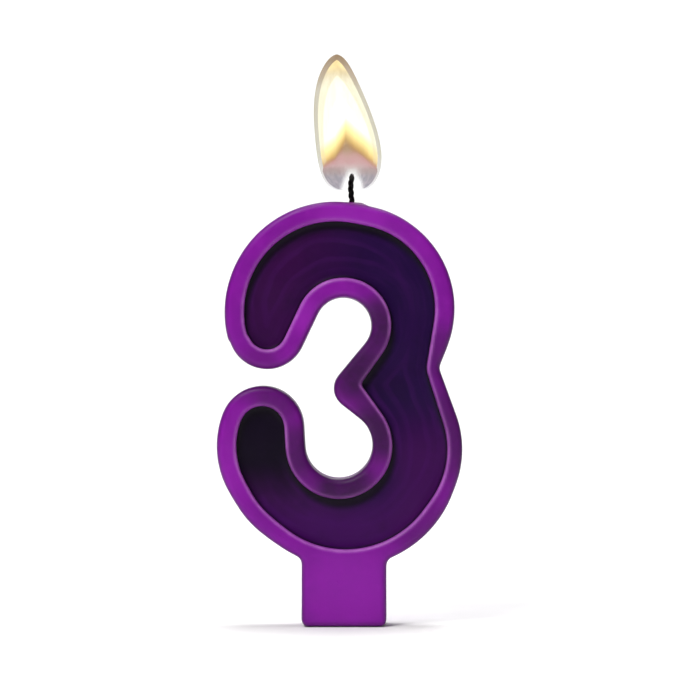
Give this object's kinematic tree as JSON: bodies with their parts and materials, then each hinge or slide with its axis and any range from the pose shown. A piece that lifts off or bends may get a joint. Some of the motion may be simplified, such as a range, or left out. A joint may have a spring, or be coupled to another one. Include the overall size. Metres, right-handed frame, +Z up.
{
  "type": "number birthday candle",
  "caption": "Wax number candle with a raised rim round a dark inlay, a tab that pushes into a cake, a braided wick that bends at its foot, and a flame.",
  "frame": {"origin": "centre of the flat end face of the tab, the lowest face of the candle", "axes": "+Z up towards the flame, -Y out of the numeral's face, +X to the right as the numeral is read"},
  "size_m": [0.0442, 0.0116, 0.103],
  "materials": {
    "purple_wax": "cast paraffin wax, satin, slightly translucent",
    "dark_wax": "poured dark wax, smooth satin sheen",
    "clean_cotton": "braided cotton soaked with wax",
    "clear_wax": "thin priming wax",
    "charred_cotton": "charred, matt black",
    "flame_outer": null,
    "flame_bright": null,
    "flame_blue": null
  },
  "bodies": {
    "candle": {"wax_body": "purple_wax", "inlay": "dark_wax", "buried_wick": "clean_cotton", "wick_coat": "clear_wax"},
    "wick_end": {"wick_strand_1": "charred_cotton", "wick_strand_2": "charred_cotton", "wick_strand_3": "charred_cotton"},
    "flame": {"flame_mantle": "flame_outer", "flame_luminous": "flame_bright", "flame_base": "flame_blue"}
  },
  "joints": [
    {"name": "wick_bend", "type": "hinge", "parent": "candle", "child": "wick_end", "pos_m": [0.0015, 0, 0.0759], "axis": [0, 1, 0], "range_deg": [-20, 20]},
    {"name": "flame_upright", "type": "hinge", "parent": "wick_end", "child": "flame", "pos_m": [0.0015, 0, 0.0814], "axis": [0, 1, 0], "range_deg": [-20, 20]}
  ],
  "couplings": [
    {"joint": "flame_upright", "follows": "wick_bend", "ratio": -1}
  ]
}
